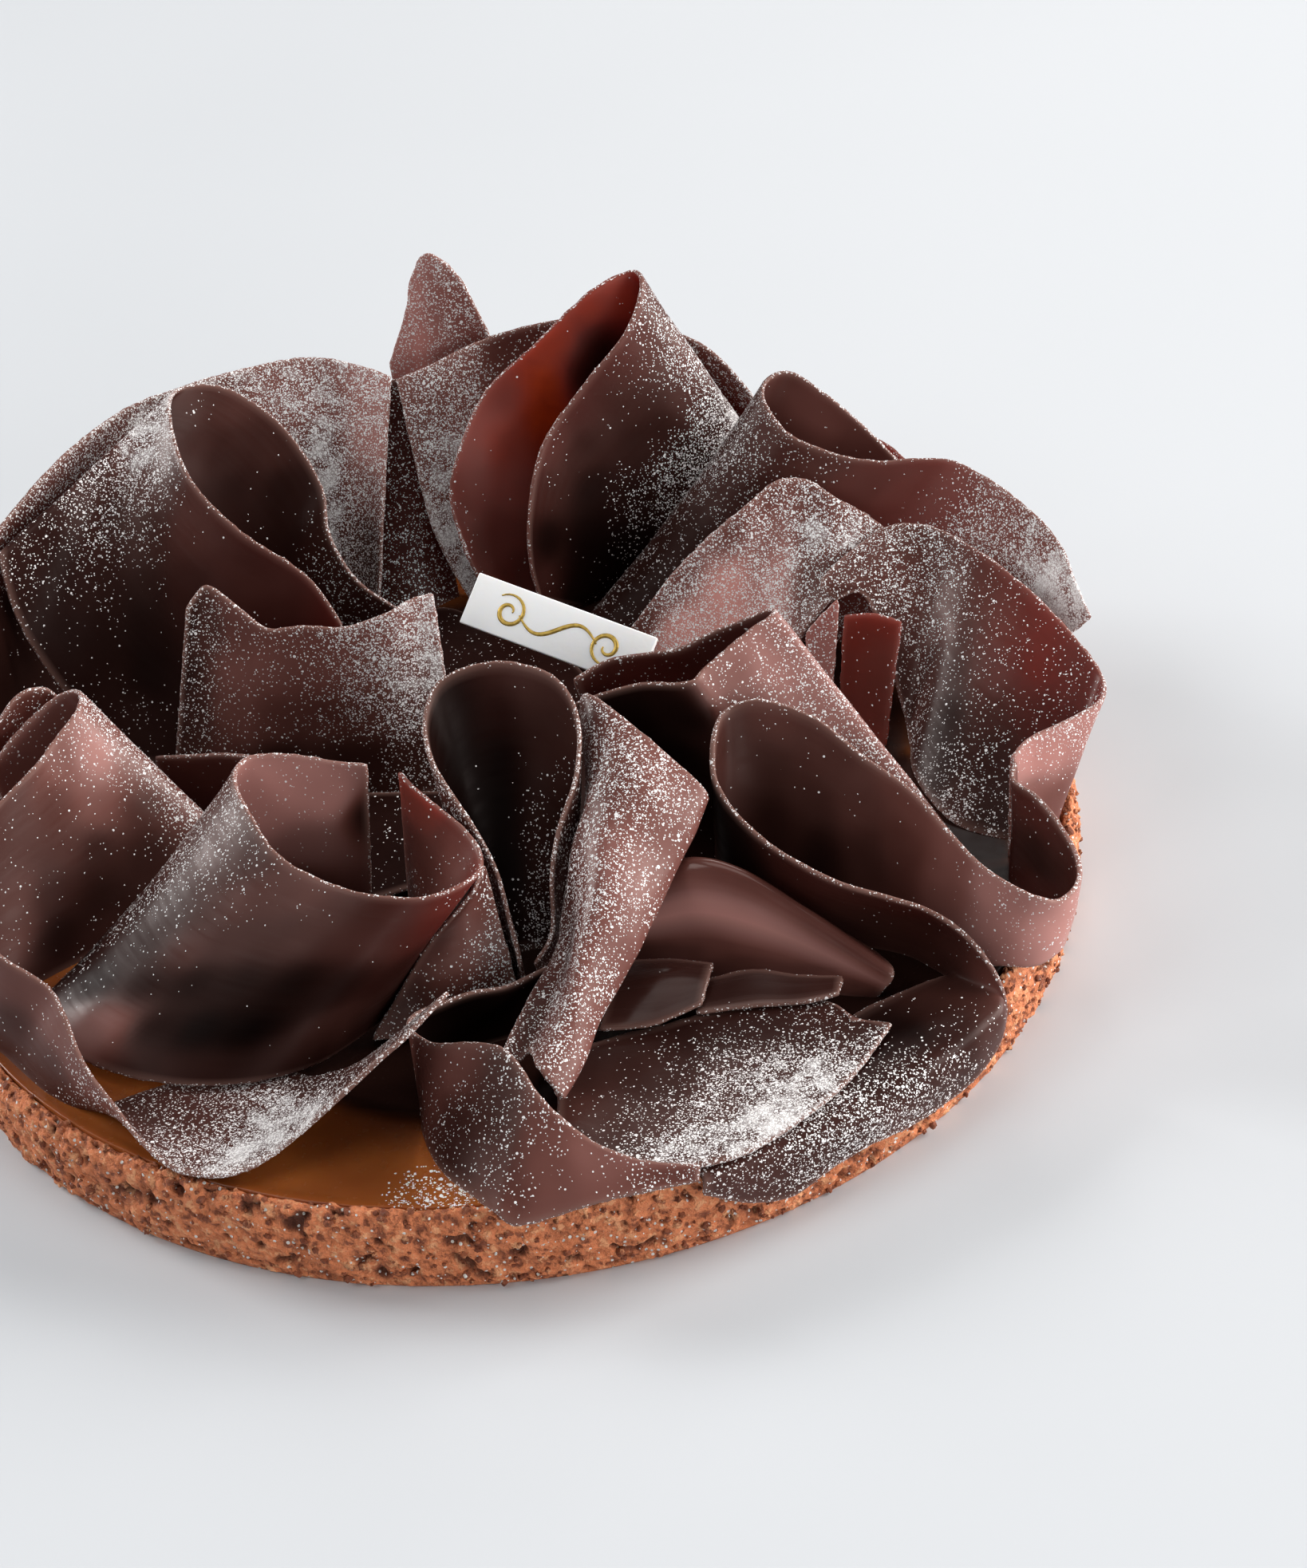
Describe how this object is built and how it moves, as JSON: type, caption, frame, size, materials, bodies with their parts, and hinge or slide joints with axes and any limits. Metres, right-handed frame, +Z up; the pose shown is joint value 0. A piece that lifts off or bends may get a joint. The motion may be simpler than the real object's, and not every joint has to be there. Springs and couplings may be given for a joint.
{
  "type": "salted caramel tart",
  "caption": "Round caramel tart in a crumbly baked crust, topped with a dense crown of thin dark chocolate sheets, rolled and folded, and a small white chocolate plaque.",
  "frame": {"origin": "centre of the tart's flat underside", "axes": "+Z up, +Y towards the back of the tart, where the tallest sheets stand, +X towards its right"},
  "size_m": [0.2266, 0.2233, 0.082],
  "materials": {
    "baked_crust": "matte, crumbly baked shortcrust",
    "caramel": "glossy, slightly translucent caramel",
    "dark_chocolate": "satin dark chocolate dusted with icing sugar",
    "white_chocolate": "smooth satin white chocolate"
  },
  "bodies": {
    "root": {"crust": "baked_crust", "caramel": "caramel", "plaque": "white_chocolate", "roll_back_left": "dark_chocolate", "wall_back_left": "dark_chocolate", "leaf_back": "dark_chocolate", "wall_back": "dark_chocolate", "petal_back": "dark_chocolate", "loop_back": "dark_chocolate", "roll_back_right": "dark_chocolate", "leaf_back_right": "dark_chocolate", "fold_right": "dark_chocolate", "leaf_right": "dark_chocolate", "leaf_right_pale": "dark_chocolate", "wall_right": "dark_chocolate", "ribbon_right": "dark_chocolate", "fold_middle": "dark_chocolate", "loop_middle": "dark_chocolate", "band_middle": "dark_chocolate", "saddle_middle": "dark_chocolate", "roll_left": "dark_chocolate", "petal_left": "dark_chocolate", "leaf_left": "dark_chocolate", "cup_front_left": "dark_chocolate", "ribbon_front_left": "dark_chocolate", "leaf_front": "dark_chocolate", "ribbon_front": "dark_chocolate", "floor_front": "dark_chocolate", "leaf_floor_back": "dark_chocolate", "leaf_floor_middle": "dark_chocolate", "cone_right": "dark_chocolate", "plate_middle": "dark_chocolate", "plate_right": "dark_chocolate"}
  },
  "joints": []
}
